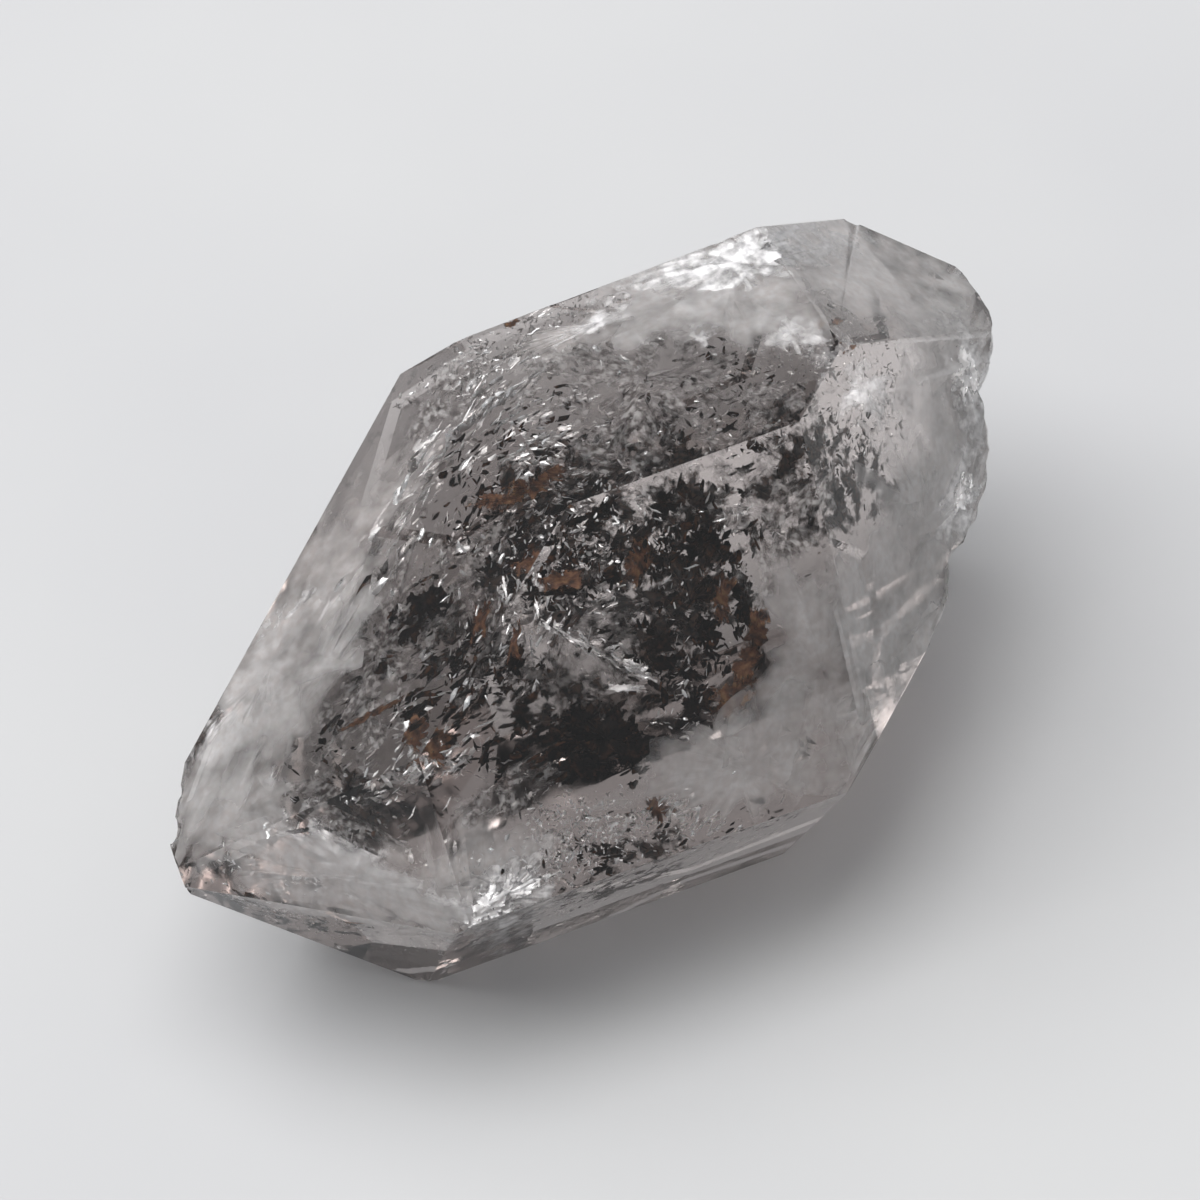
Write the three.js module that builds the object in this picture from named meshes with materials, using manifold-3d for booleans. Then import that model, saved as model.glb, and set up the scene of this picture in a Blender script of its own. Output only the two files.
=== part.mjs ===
// A Herkimer diamond: one clear, double-ended quartz crystal with a broken right end.
// Millimetres, +Z up. The crystal lies on its bottom prism face, with its long (c) axis along X.
// Every flat face is a plane given by the direction of its outward normal and by its distance
// from the point where the crystal began to grow.
import * as THREE from "three";
import { mergeVertices } from "three/addons/utils/BufferGeometryUtils.js";
import Module from "manifold-3d";

const wasm = await Module();
wasm.setup();

// Angles in degrees. "pole" is the angle between a face's normal and +X, and "bearing" is its turn
// about X: 0 is up, 90 is back (+Y), -90 is front (-Y) and 180 is down.
const PRISM = 90;
const RIGHT = 51.787; // the slope of every true end face of quartz
const LEFT = 180 - RIGHT;

// The flat faces. The small sums are the lean that growth gave a face off its ideal direction.
const FACES = {
  prismTop: { pole: PRISM - 1.21, bearing: 0 - 0.6, distance: 16.82 },
  prismUpperFront: { pole: PRISM, bearing: -60, distance: 10.0 },
  prismLowerFront: { pole: PRISM + 2.12, bearing: -120 + 0.25, distance: 6.18 },
  prismBottom: { pole: PRISM, bearing: 180, distance: 3.76 },
  prismLowerBack: { pole: PRISM, bearing: 120, distance: 10.0 },
  prismUpperBack: { pole: PRISM, bearing: 60, distance: 15.58 },
  leftTop: { pole: LEFT - 1.8, bearing: 0 - 0.54, distance: 14.62 },
  leftUpperFront: { pole: LEFT + 1.65, bearing: -60 + 0.19, distance: 14.32 },
  leftLowerFront: { pole: LEFT - 0.22, bearing: -120 - 0.18, distance: 11.22 },
  leftBottom: { pole: LEFT, bearing: 180, distance: 9.7 },
  leftLowerBack: { pole: LEFT, bearing: 120, distance: 10.35 },
  leftUpperBack: { pole: LEFT, bearing: 60, distance: 14.73 },
  rightTop: { pole: RIGHT - 0.3, bearing: 0 - 0.16, distance: 20.05 },
  rightUpperFront: { pole: RIGHT + 0.16, bearing: -60 - 1.8, distance: 12.53 },
  rightLowerFront: { pole: RIGHT + 0.99, bearing: -120 + 0.36, distance: 8.6 },
  rightBottom: { pole: RIGHT, bearing: 180, distance: 12.0 },
  rightLowerBack: { pole: RIGHT, bearing: 120, distance: 16.8 },
  rightUpperBack: { pole: RIGHT, bearing: 60, distance: 22.2 },
  rightSteep: { pole: 64.5, bearing: -123.9, distance: 7.76 },
  leftTipBruise: { pole: 165.9, bearing: 134.7, distance: 17.75 },
};

// The broken right end: a wavy fracture made of low domes that meet in valleys. In its own frame u
// runs back along the break, v runs up across it, and heights stand out of it.
const FRACTURE = {
  pole: 28,
  bearing: -108,
  centre: [16.73, 2.55, 7.37],
  span: 30, // edge of the square that it covers
  cells: 100, // facets along that edge
  floor: -0.75, // height where no dome reaches
  valley: 0.12, // half width of the rounding where two domes meet
};
const DOMES = [
  { u: 3.7, v: 0.8, radius: 4.7, crest: 1.25 },
  { u: -1.5, v: 0.9, radius: 5.6, crest: 1.42 },
  { u: -7.0, v: 1.2, radius: 3.2, crest: 0.1 },
  { u: 8.2, v: -1.6, radius: 4.5, crest: 0.1 },
  { u: 1.6, v: -4.4, radius: 5.6, crest: 0.4 },
  { u: -5.2, v: -3.4, radius: 5.6, crest: 0.1 },
  { u: 6.4, v: -6.6, radius: 6.6, crest: 0.25 },
  { u: -1.2, v: -8.6, radius: 6.0, crest: -0.1 },
];
const RIPPLE = { height: 0.04, pitch: 1.05 }; // rings round each dome, as in broken glass
const HACKLE = { height: 0.06, pitch: 1.7, sway: 1.5 }; // small lumps over the whole break

// Growth ledges: shallow steps sunk in a face, each with a flat floor and sloping sides. Points are
// [along, across] in the face's own frame, where along follows the crystal's length.
const LEDGE_SLOPE = 3; // how far a ledge's side runs out for each millimetre that it is deep
const LEDGES = [
  {
    face: "rightUpperFront",
    depth: 0.12,
    outline: [[0.6, 8.3], [2.1, 7.0], [1.9, 4.6], [0.5, 2.2], [-0.4, 2.6]],
  },
  {
    face: "prismTop",
    depth: 0.08,
    outline: [[3.4, 7.4], [8.4, 7.7], [9.9, 8.2], [9.6, 9.5], [2.8, 9.5], [2.1, 8.4]],
  },
  {
    face: "leftTop",
    depth: 0.07,
    outline: [[-11.0, 1.4], [-9.0, 0.2], [-6.9, 1.2], [-6.2, 3.0], [-8.2, 3.2]],
  },
  {
    face: "leftUpperFront",
    depth: 0.07,
    outline: [[-9.8, 2.5], [-6.0, 1.6], [-4.4, 2.4], [-6.4, 3.9], [-9.4, 3.8]],
  },
  {
    face: "prismUpperBack",
    depth: 0.16,
    outline: [[-2.5, -7.5], [3.5, -8.8], [9.8, -6.6], [11.2, -2.6], [5.2, -0.6], [-1.2, -2.2]],
  },
  {
    face: "prismUpperBack",
    depth: 0.3,
    outline: [[0.4, -6.2], [4.4, -6.9], [8.2, -5.2], [8.6, -3.2], [4.6, -2.2], [0.6, -3.4]],
  },
  {
    face: "prismLowerBack",
    depth: 0.18,
    outline: [[0.8, -10.2], [8.6, -10.8], [12.8, -7.4], [10.6, -3.4], [3.0, -2.6], [-1.6, -5.8]],
  },
  {
    face: "leftLowerBack",
    depth: 0.15,
    outline: [[-7.4, -6.2], [-1.2, -8.6], [1.4, -5.4], [-1.8, -2.0], [-7.0, -1.8]],
  },
  {
    face: "leftUpperBack",
    depth: 0.14,
    outline: [[-3.2, -4.2], [3.6, -5.8], [5.2, -2.4], [1.0, -0.9]],
  },
  {
    face: "leftBottom",
    depth: 0.14,
    outline: [[-11.6, -0.4], [-7.6, -1.9], [-7.0, 1.6], [-9.8, 2.0]],
  },
  {
    face: "rightBottom",
    depth: 0.12,
    outline: [[10.6, -7.4], [13.8, -6.7], [14.2, -5.2], [10.8, -4.4]],
  },
  {
    face: "rightUpperBack",
    depth: 0.12,
    outline: [[4.0, -4.2], [7.2, -3.4], [7.0, -1.8], [4.2, -1.0]],
  },
];

// Growth pits: small three-sided hollows, scattered on the named faces inside a round patch.
const PIT = { sides: 3, least: 0.22, most: 0.5, slope: 0.32 };
const PIT_PATCHES = [
  { face: "rightUpperFront", along: 4.4, across: 10.4, reach: 1.9, count: 6 },
  { face: "rightTop", along: 7.8, across: 7.0, reach: 0.9, count: 3 },
  { face: "prismUpperFront", along: 3.6, across: 0.8, reach: 1.4, count: 6 },
  { face: "leftTop", along: -2.0, across: 1.5, reach: 3.0, count: 4 },
  { face: "prismUpperBack", along: 5.0, across: -3.5, reach: 5.0, count: 7 },
  { face: "prismLowerBack", along: 5.5, across: -6.5, reach: 4.5, count: 7 },
  { face: "leftLowerBack", along: -5.0, across: -4.0, reach: 4.5, count: 6 },
  { face: "leftUpperBack", along: 2.5, across: -3.0, reach: 2.6, count: 4 },
];

// Chips knocked out of edges and corners. Each point is on an edge, from the growth point.
const CHIPS = [
  { at: [-18.4, 0.9, 4.75], radius: 0.7, bite: 0.22 },
  { at: [-17.6, 1.95, 5.35], radius: 0.45, bite: 0.12 },
  { at: [-19.25, -0.55, 3.95], radius: 0.6, bite: 0.2 },
  { at: [-18.95, -0.8, 2.85], radius: 0.55, bite: 0.2 },
  { at: [-10.65, -4.5, -3.76], radius: 0.8, bite: 0.22 },
  { at: [-10.4, -9.0, 4.1], radius: 0.5, bite: 0.1 },
  { at: [-1.76, 8.2, 16.95], radius: 0.6, bite: 0.12 },
  { at: [11.35, 0.93, 16.59], radius: 0.7, bite: 0.12 },
  { at: [9.4, 8.35, 16.75], radius: 0.5, bite: 0.14 },
  { at: [16.1, 10.6, 12.8], radius: 0.8, bite: 0.16 },
  { at: [-3.6, 14.77, 5.57], radius: 0.9, bite: 0.25 },
  { at: [14.4, 14.77, 5.57], radius: 1.1, bite: 0.3 },
  { at: [6.0, 14.77, 5.57], radius: 0.8, bite: 0.16 },
  { at: [2.4, 9.38, -3.76], radius: 0.7, bite: 0.14 },
  { at: [-8.0, 5.6, -3.6], radius: 0.6, bite: 0.12 },
];

const STOCK = 90; // edge of the block that the crystal is cut from
const OUTSIDE = 2; // how far a shallow cutter stands out of the face that it cuts
const CUTTER_DETAIL = 1; // times that a chip's ball is subdivided
const WELD = 1e-5; // points nearer than this are one point
const MIDDLE = [0, 2.5, 6.5]; // the crystal's middle, from the growth point
const SEED = 11;

const radians = THREE.MathUtils.degToRad;

// Numbers from 0 to 1 in a fixed order.
function makeRandom(seed) {
  let state = seed;
  return () => {
    state = (state * 16807) % 2147483647;
    return state / 2147483647;
  };
}

function normalOf({ pole, bearing }) {
  const sideways = Math.sin(radians(pole));
  return new THREE.Vector3(
    Math.cos(radians(pole)),
    sideways * Math.sin(radians(bearing)),
    sideways * Math.cos(radians(bearing)),
  );
}

// A frame with Z along the normal and X as near as it can be to the crystal's length.
function frameAt(normal, origin) {
  const lengthwise = new THREE.Vector3(1, 0, 0);
  const along = lengthwise.addScaledVector(normal, -normal.x).normalize();
  const across = new THREE.Vector3().crossVectors(normal, along);
  return new THREE.Matrix4().makeBasis(along, across, normal).setPosition(origin);
}

function faceFrame(face) {
  const normal = normalOf(face);
  return frameAt(normal, normal.clone().multiplyScalar(face.distance));
}

function toSolid(geometry, place = new THREE.Matrix4()) {
  const bare = geometry.clone().applyMatrix4(place);
  bare.deleteAttribute("normal");
  bare.deleteAttribute("uv");
  const merged = mergeVertices(bare, WELD);
  const mesh = new wasm.Mesh({
    numProp: 3,
    vertProperties: merged.attributes.position.array,
    triVerts: new Uint32Array(merged.index.array),
  });
  return new wasm.Manifold(mesh);
}

// Everything outside a face's plane, as a block.
function beyondFace(face) {
  const block = new THREE.BoxGeometry(STOCK, STOCK, STOCK).translate(0, 0, STOCK / 2);
  return toSolid(block, faceFrame(face));
}

// Height of the fracture above its own plane: the highest dome, with rounded valleys.
function fractureHeight(u, v) {
  let height = FRACTURE.floor;
  let ring = 0;
  for (const dome of DOMES) {
    const away = Math.hypot(u - dome.u, v - dome.v);
    const reach = dome.crest - away ** 2 / (2 * dome.radius);
    if (reach > height) ring = away;
    const gap = Math.max(FRACTURE.valley - Math.abs(reach - height), 0);
    height = Math.max(height, reach) + gap ** 2 / (4 * FRACTURE.valley);
  }
  const ripple = RIPPLE.height * Math.sin((2 * Math.PI * ring) / RIPPLE.pitch);
  const turn = (2 * Math.PI) / HACKLE.pitch;
  const rows = Math.sin(turn * u + HACKLE.sway * Math.sin(v));
  const columns = Math.sin(turn * v + HACKLE.sway * Math.sin(u));
  return height + ripple + HACKLE.height * rows * columns;
}

// Everything beyond the fracture: a block whose inner side has the fracture's relief.
function beyondFracture() {
  const { span, cells, centre } = FRACTURE;
  const block = new THREE.BoxGeometry(span, span, span, cells, cells, 1).translate(0, 0, span / 2);
  const points = block.attributes.position;
  for (let i = 0; i < points.count; i++) {
    if (points.getZ(i) < span / 2) points.setZ(i, fractureHeight(points.getX(i), points.getY(i)));
  }
  return toSolid(block, frameAt(normalOf(FRACTURE), new THREE.Vector3(...centre)));
}

function ledgeCutter({ face, depth, outline }) {
  const shape = new THREE.Shape(outline.map(([along, across]) => new THREE.Vector2(along, across)));
  const slab = new THREE.ExtrudeGeometry(shape, {
    depth: OUTSIDE,
    bevelThickness: depth,
    bevelSize: depth * LEDGE_SLOPE,
    bevelSegments: 1,
  });
  return toSolid(slab, faceFrame(FACES[face]));
}

// One pit: a cone with three sides and its point in the face, twice as tall as the pit is deep.
function pitCutter(face, along, across, size) {
  const depth = size * PIT.slope;
  const cone = new THREE.ConeGeometry(2 * size, 2 * depth, PIT.sides);
  cone.rotateX(-Math.PI / 2); // its point now looks along -Z
  return toSolid(cone.translate(along, across, 0), faceFrame(FACES[face]));
}

function pitCutters(random) {
  const cutters = [];
  for (const patch of PIT_PATCHES) {
    for (let i = 0; i < patch.count; i++) {
      const turn = 2 * Math.PI * random();
      const away = patch.reach * Math.sqrt(random());
      const size = THREE.MathUtils.lerp(PIT.least, PIT.most, random() ** 2);
      const along = patch.along + away * Math.cos(turn);
      const across = patch.across + away * Math.sin(turn);
      cutters.push(pitCutter(patch.face, along, across, size));
    }
  }
  return cutters;
}

// One chip: a faceted ball that bites into an edge from outside.
function chipCutter({ at, radius, bite }) {
  const point = new THREE.Vector3(...at);
  const outward = point.clone().sub(new THREE.Vector3(...MIDDLE)).normalize();
  const centre = point.addScaledVector(outward, radius - bite);
  const ball = new THREE.IcosahedronGeometry(radius, CUTTER_DETAIL).translate(...centre);
  return toSolid(ball);
}

function carveCrystal() {
  const random = makeRandom(SEED);
  const cutters = [
    ...Object.values(FACES).map(beyondFace),
    beyondFracture(),
    ...LEDGES.map(ledgeCutter),
    ...pitCutters(random),
    ...CHIPS.map(chipCutter),
  ];
  const block = toSolid(new THREE.BoxGeometry(STOCK, STOCK, STOCK));
  return cutters.reduce((left, cutter) => left.subtract(cutter), block);
}

// The crystal as a flat-shaded geometry, standing on Z = 0 with the middle of its box over the origin.
function crystalGeometry() {
  const mesh = carveCrystal().getMesh();
  const geometry = new THREE.BufferGeometry();
  geometry.setAttribute("position", new THREE.BufferAttribute(mesh.vertProperties, 3));
  geometry.setIndex(new THREE.BufferAttribute(mesh.triVerts, 1));
  geometry.computeBoundingBox();
  const { min, max } = geometry.boundingBox;
  geometry.translate(-(min.x + max.x) / 2, -(min.y + max.y) / 2, -min.z);
  const flat = geometry.toNonIndexed();
  flat.computeVertexNormals();
  return flat;
}

const quartz = new THREE.MeshStandardMaterial({
  color: 0xcbc7c5,
  roughness: 0.12,
  metalness: 0,
  transparent: true,
  opacity: 0.6,
});

const crystal = new THREE.Mesh(crystalGeometry(), quartz);
crystal.name = "crystal";

const herkimerDiamond = new THREE.Group();
herkimerDiamond.name = "herkimer_diamond";
herkimerDiamond.add(crystal);

export default herkimerDiamond;
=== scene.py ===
"""Looks for the herkimer diamond: the quartz, what is grown into it, the floor, light and camera.

Lengths are in metres, and small ones are written as a number of millimetres times MM. What lies
inside the crystal is placed by a pixel of the 1200 x 1200 photograph and a depth: the camera's ray
through that pixel is bent at the crystal's surface, as light is, and followed that far.
"""

import math
import random

import bmesh
import bpy
from mathutils import Matrix, Vector, noise
from mathutils.bvhtree import BVHTree


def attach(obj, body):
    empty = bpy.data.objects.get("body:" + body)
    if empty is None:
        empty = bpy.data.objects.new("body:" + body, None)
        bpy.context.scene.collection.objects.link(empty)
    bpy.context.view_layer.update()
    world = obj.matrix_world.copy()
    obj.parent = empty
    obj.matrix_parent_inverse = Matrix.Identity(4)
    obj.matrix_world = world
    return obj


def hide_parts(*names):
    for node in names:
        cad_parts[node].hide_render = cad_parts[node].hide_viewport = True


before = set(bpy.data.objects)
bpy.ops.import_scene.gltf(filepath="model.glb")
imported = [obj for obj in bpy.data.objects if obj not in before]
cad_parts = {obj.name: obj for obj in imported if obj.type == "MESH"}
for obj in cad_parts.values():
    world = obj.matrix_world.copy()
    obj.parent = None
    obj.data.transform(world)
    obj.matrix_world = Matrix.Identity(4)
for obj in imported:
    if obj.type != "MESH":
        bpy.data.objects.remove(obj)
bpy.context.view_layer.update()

MM = 0.001
BODY = "root"

# Camera
PHOTO_SIZE = 1200  # pixels
CAMERA_TARGET = Vector((0.79, 1.48, 7.81)) * MM  # what the middle of the photograph looks at
CAMERA_DISTANCE = 360 * MM
CAMERA_HEIGHT = math.radians(47.31)  # how far the camera looks down
CAMERA_TURN = math.radians(-21.04)  # how far it stands round from the front, to the left
CAMERA_ROLL = math.radians(-5.73)
VIEW_WIDTH = 48 * MM  # what the photograph's width spans at the target
SENSOR_WIDTH = 36  # mm, as Blender counts it
NEAR_LIMIT = 10 * MM
FAR_LIMIT = 10

# Floor and light
FLOOR_SIZE = 3.0
FLOOR_SQUARES = 8  # along each of its sides
FLOOR_GAP = 0.02 * MM  # keeps the floor's surface off the crystal's
FLOOR_COLOURS = [(0.50, 0.50, 0.51, 1), (0.55, 0.55, 0.55, 1)]
FLOOR_STEPS = (0.3, 0.7)
FLOOR_GRAIN = 0.02  # lumps in a millimetre, as for every grain of a material
FLOOR_ROUGHNESS = 0.9
WORLD_COLOUR = (0.95, 0.97, 1.0, 1)
WORLD_STRENGTH = 0.40
OVERHEAD = Vector((-0.2, 0.3, 1.0)).normalized()
SOFTBOXES = [
    # name, direction it shines from, distance, width, height, watts
    ("overhead_softbox", OVERHEAD, 0.75, 0.90, 0.90, 8.5),
    ("side_softbox", Vector((-1.0, 0.5, 0.6)), 0.90, 0.35, 0.35, 0.9),
]

# Quartz
QUARTZ_IOR = 1.544
QUARTZ_COLOUR = (0.81, 0.77, 0.755, 1)  # what the quartz lets through
QUARTZ_DENSITY = 120.0
DULL_PATCHES = dict(low=0.45, high=0.75, to_low=0.0, to_high=0.10)  # from a noise to a roughness
DULL_GRAIN = 0.25
UNEVEN_GRAIN = 0.6
UNEVEN_RELIEF = 0.02 * MM
UNEVEN_STRENGTH = 0.25
SAME_POINT = 0.001 * MM  # corners nearer than this are one
SMALL_FACE = 0.2 * MM * MM  # a facet of the broken end is smaller than this
BREAK_STARTS = 11 * MM  # the break lies right of this
FLAT_EDGE = math.radians(14)  # a blunter angle between flat faces is drawn smooth
BREAK_EDGE = math.radians(50)  # the same, on the break
BREAK_GRAIN = 0.35 * MM  # size of the break's finest lumps
BREAK_RELIEF = 0.035 * MM

# What is grown into the quartz. Places, reaches and turns are as the photograph shows them, in
# pixels and degrees turned anticlockwise; lengths and widths of single bits are in millimetres.
SEED = 5721
PIXEL = VIEW_WIDTH / PHOTO_SIZE
SKIN = 0.12 * MM  # the shallowest that anything lies on a line of sight, or a loose bit anywhere
LAYER_SKIN = 0.05 * MM  # the least quartz over any point of a layer
DEEPEST = 0.94  # the furthest that a layer lies, as a share of the way through
FACE_DEPTH = 0.15 * MM  # ledges and pits less deep than this belong to the face that they are in
REACH_STEP = 0.01  # how finely a layer's edge is fitted to its face, as a share of its reach

# Every plate and veil is a line of: x, y, length, width, turn, millimetres below the surface

# Black and brown plates of anthraxolite
BLACK_PLATES = [
    (606, 738, 120, 60, -10, 2.2),
    (585, 722, 66, 46, 30, 2.8),
    (552, 736, 56, 24, 22, 3.0),
    (636, 750, 56, 38, -14, 1.9),
    (556, 754, 44, 18, 24, 2.2),
    (594, 758, 44, 14, -4, 2.2),
    (582, 766, 70, 30, -14, 2.0),
    (694, 704, 44, 40, 20, 3.0),
    (705, 545, 50, 50, 0, 4.4),
    (560, 772, 34, 9, 28, 2.6),
    (572, 780, 26, 8, 20, 3.0),
    (634, 784, 18, 11, 30, 2.2),
    (660, 640, 50, 32, 24, 3.9),
    (668, 662, 44, 22, 14, 3.6),
    (700, 590, 26, 52, 8, 4.3),
    (700, 630, 56, 36, -12, 4.4),
    (690, 672, 44, 22, -24, 3.9),
    (515, 660, 26, 42, -8, 4.3),
    (520, 716, 24, 38, 12, 4.6),
    (594, 514, 64, 18, 24, 2.5),
    (590, 528, 28, 12, 40, 2.8),
    (611, 577, 26, 22, 0, 4.6),
    (560, 592, 58, 15, 6, 4.9),
    (553, 552, 46, 6, 66, 3.9),
    (664, 502, 50, 46, 10, 4.0),
    (702, 512, 46, 60, 6, 4.2),
    (672, 560, 24, 30, -20, 4.4),
    (490, 568, 26, 20, 30, 4.0),
    (524, 542, 22, 20, 40, 4.6),
    (427, 604, 64, 40, 30, 3.2),
    (408, 628, 54, 32, 52, 3.5),
    (366, 826, 30, 18, -30, 4.6),
    (375, 838, 26, 12, -24, 4.9),
    (344, 912, 44, 7, -16, 4.6),
    (316, 926, 30, 9, -14, 4.6),
    (223, 830, 26, 7, 10, 3.9),
    (822, 478, 20, 26, 40, 4.6),
    (812, 510, 17, 36, -10, 4.9),
    (947, 296, 32, 17, -12, 3.2),
    (606, 893, 30, 9, 20, 3.9),
    (686, 748, 14, 12, 0, 3.2),
    (449, 744, 26, 10, 40, 4.0),
    (470, 640, 14, 26, -10, 4.6),
    (744, 600, 34, 76, 0, 4.4),
    (742, 470, 34, 16, 20, 4.6),
]
# Plates stained brown by iron
RUSTY_PLATES = [
    (756, 630, 30, 84, -6, 2.4),
    (747, 664, 36, 70, -16, 2.4),
    (734, 698, 50, 66, -30, 2.2),
    (720, 708, 34, 28, 30, 2.2),
    (722, 600, 26, 80, -4, 2.8),
    (532, 486, 84, 30, 22, 2.2),
    (498, 500, 70, 18, 8, 2.4),
    (368, 716, 80, 11, 28, 2.0),
    (564, 580, 66, 34, 4, 2.6),
    (660, 808, 36, 26, -20, 2.8),
    (352, 905, 34, 10, -20, 2.8),
    (836, 322, 20, 10, 30, 2.4),
    (512, 324, 20, 9, 24, 1.0),
    (640, 560, 60, 40, 60, 3.4),
    (480, 620, 50, 24, 60, 3.4),
    (434, 748, 40, 50, -20, 2.6),
]
# Cracks and flat cavities that throw the light back
BRIGHT_PLATES = [
    (504, 895, 130, 60, 30, 1.5),
    (486, 906, 70, 44, 50, 1.2),
    (626, 688, 62, 12, -8, 3.6),
    (575, 640, 84, 7, -30, 3.0),
    (640, 672, 70, 7, -30, 3.0),
    (548, 628, 30, 8, -34, 2.8),
    (674, 888, 40, 7, 20, 3.4),
    (715, 830, 34, 9, 34, 4.2),
    (745, 514, 26, 9, 10, 4.6),
    (864, 400, 22, 34, 20, 4.0),
    (776, 343, 30, 14, -30, 4.0),
    (966, 372, 40, 90, 8, 0.9),
    (956, 500, 36, 80, -30, 0.9),
    (505, 588, 6, 34, 8, 3.4),
    (462, 549, 17, 10, 0, 3.0),
    (782, 766, 26, 8, 6, 3.4),
    (788, 776, 20, 6, -16, 3.4),
    (770, 244, 60, 20, -16, 0.8),
    (712, 262, 70, 20, 22, 0.8),
    (885, 694, 16, 20, 40, 2.0),
    (645, 338, 40, 14, -34, 3.4),
    (624, 359, 20, 7, -42, 3.2),
]

# Hazy veils
VEILS = [
    (735, 275, 330, 170, 14, 0.9),
    (600, 326, 240, 40, 22, 1.5),
    (270, 668, 590, 150, 61, 0.8),
    (286, 722, 320, 70, 60, 1.4),
    (225, 810, 180, 160, 40, 1.2),
    (320, 875, 420, 120, -22, 0.8),
    (480, 885, 220, 150, 20, 2.4),
    (745, 770, 260, 150, 24, 1.2),
    (822, 670, 140, 300, 10, 1.0),
    (866, 640, 130, 330, -12, 0.4),
    (858, 620, 90, 130, -8, 1.4),
    (925, 520, 130, 340, 10, 0.9),
    (870, 270, 300, 150, -20, 1.0),
    (745, 316, 200, 50, 14, 1.8),
    (430, 890, 170, 110, -10, 2.2),
    (718, 738, 80, 56, 20, 1.0),
]
# The same, under the broken end and the narrow faces below it, each across several faces
EDGE_VEILS = [
    (958, 365, 140, 200, 6, 1.9),
    (956, 490, 140, 240, -16, 1.9),
    (925, 600, 140, 220, -26, 0.8),
    (900, 690, 110, 220, -28, 0.5),
    (966, 375, 110, 160, 6, 1.6),
    (956, 485, 110, 180, -16, 1.6),
]

# Mottled veils, a grey grain of specks and tiny cavities
MOTTLED_VEILS = [
    (640, 380, 420, 280, 18, 2.6),
    (380, 650, 430, 170, 62, 3.0),
    (330, 830, 300, 110, -24, 3.0),
    (560, 620, 320, 260, 10, 6.4),
    (775, 520, 190, 330, 8, 3.0),
    (512, 792, 160, 90, 20, 2.0),
    (425, 408, 150, 90, 48, 1.3),
    (775, 405, 130, 80, 20, 1.8),
]

# Veils that catch the light
GLINT_VEILS = [
    (735, 262, 290, 120, 16, 0.5),
    (790, 330, 90, 60, -20, 0.8),
    (600, 322, 150, 26, 22, 1.0),
    (868, 392, 70, 80, 10, 1.0),
    (962, 372, 100, 170, 6, 1.1),
    (952, 490, 90, 150, -20, 1.1),
    (505, 892, 180, 130, 32, 1.7),
    (350, 868, 240, 80, -22, 1.2),
    (248, 690, 300, 70, 60, 1.6),
]

# Veils of black and brown specks
DARK_VEILS = [
    (690, 600, 180, 230, -20, 3.6),
    (650, 520, 280, 130, 10, 4.6),
    (600, 725, 220, 120, -8, 4.0),
    (650, 600, 300, 260, -20, 7.3),
    (550, 680, 190, 100, -8, 7.0),
    (520, 580, 150, 170, 30, 6.0),
    (430, 620, 140, 110, 40, 5.0),
    (366, 822, 110, 60, -26, 5.0),
    (790, 510, 120, 170, 10, 4.6),
    (868, 480, 110, 160, 10, 3.0),
    (348, 602, 460, 26, 62, 3.1),
    (940, 294, 90, 50, -12, 1.6),
    (826, 446, 110, 110, 10, 3.4),
    (692, 506, 190, 90, 6, 3.4),
    (640, 850, 160, 60, 18, 5.7),
    (560, 465, 180, 80, 24, 5.6),
]

# Swarms of small bits: at, reach, turn, count, then the way the bits lean and how far they stray
# from that, and their length
SILVER_SWARMS = [
    dict(at=(465, 425), reach=(105, 30), turn=50, count=120, lean=50, stray=14, length=(0.4, 1.3)),
    dict(at=(400, 520), reach=(110, 22), turn=60, count=90, lean=60, stray=10, length=(0.5, 1.6)),
    dict(at=(470, 375), reach=(60, 30), turn=30, count=160, lean=40, stray=40, length=(0.15, 0.5)),
    dict(at=(600, 335), reach=(120, 34), turn=18, count=260, lean=-20, stray=50, length=(0.15, 0.6)),
    dict(at=(560, 440), reach=(110, 60), turn=20, count=240, lean=28, stray=24, length=(0.2, 0.7)),
    dict(at=(700, 400), reach=(120, 70), turn=10, count=220, lean=20, stray=50, length=(0.12, 0.45)),
    dict(at=(740, 510), reach=(70, 36), turn=10, count=110, lean=30, stray=60, length=(0.15, 0.6)),
    dict(at=(610, 560), reach=(120, 80), turn=0, count=180, lean=-20, stray=60, length=(0.15, 0.7)),
    dict(at=(480, 600), reach=(70, 90), turn=0, count=150, lean=70, stray=40, length=(0.15, 0.7)),
    dict(at=(610, 658), reach=(90, 14), turn=-29, count=110, lean=-30, stray=20, length=(0.3, 1.0)),
    dict(at=(700, 690), reach=(60, 60), turn=0, count=100, lean=40, stray=60, length=(0.15, 0.6)),
    dict(at=(420, 740), reach=(90, 70), turn=20, count=130, lean=30, stray=30, length=(0.2, 0.9)),
    dict(at=(350, 820), reach=(90, 40), turn=-24, count=120, lean=20, stray=50, length=(0.15, 0.6)),
    dict(at=(560, 830), reach=(120, 50), turn=14, count=220, lean=40, stray=60, length=(0.15, 0.5)),
    dict(at=(690, 800), reach=(90, 40), turn=24, count=200, lean=40, stray=30, length=(0.15, 0.7)),
    dict(at=(330, 640), reach=(130, 20), turn=61, count=50, lean=61, stray=8, length=(0.5, 1.4)),
    dict(at=(880, 430), reach=(60, 80), turn=0, count=140, lean=70, stray=60, length=(0.15, 0.5)),
    dict(at=(780, 300), reach=(70, 60), turn=0, count=180, lean=-30, stray=50, length=(0.15, 0.5)),
    dict(at=(870, 680), reach=(40, 70), turn=-20, count=60, lean=60, stray=40, length=(0.15, 0.5)),
]
PALE_BITS = dict(lean=10, stray=90, length=(0.08, 0.36))
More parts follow.
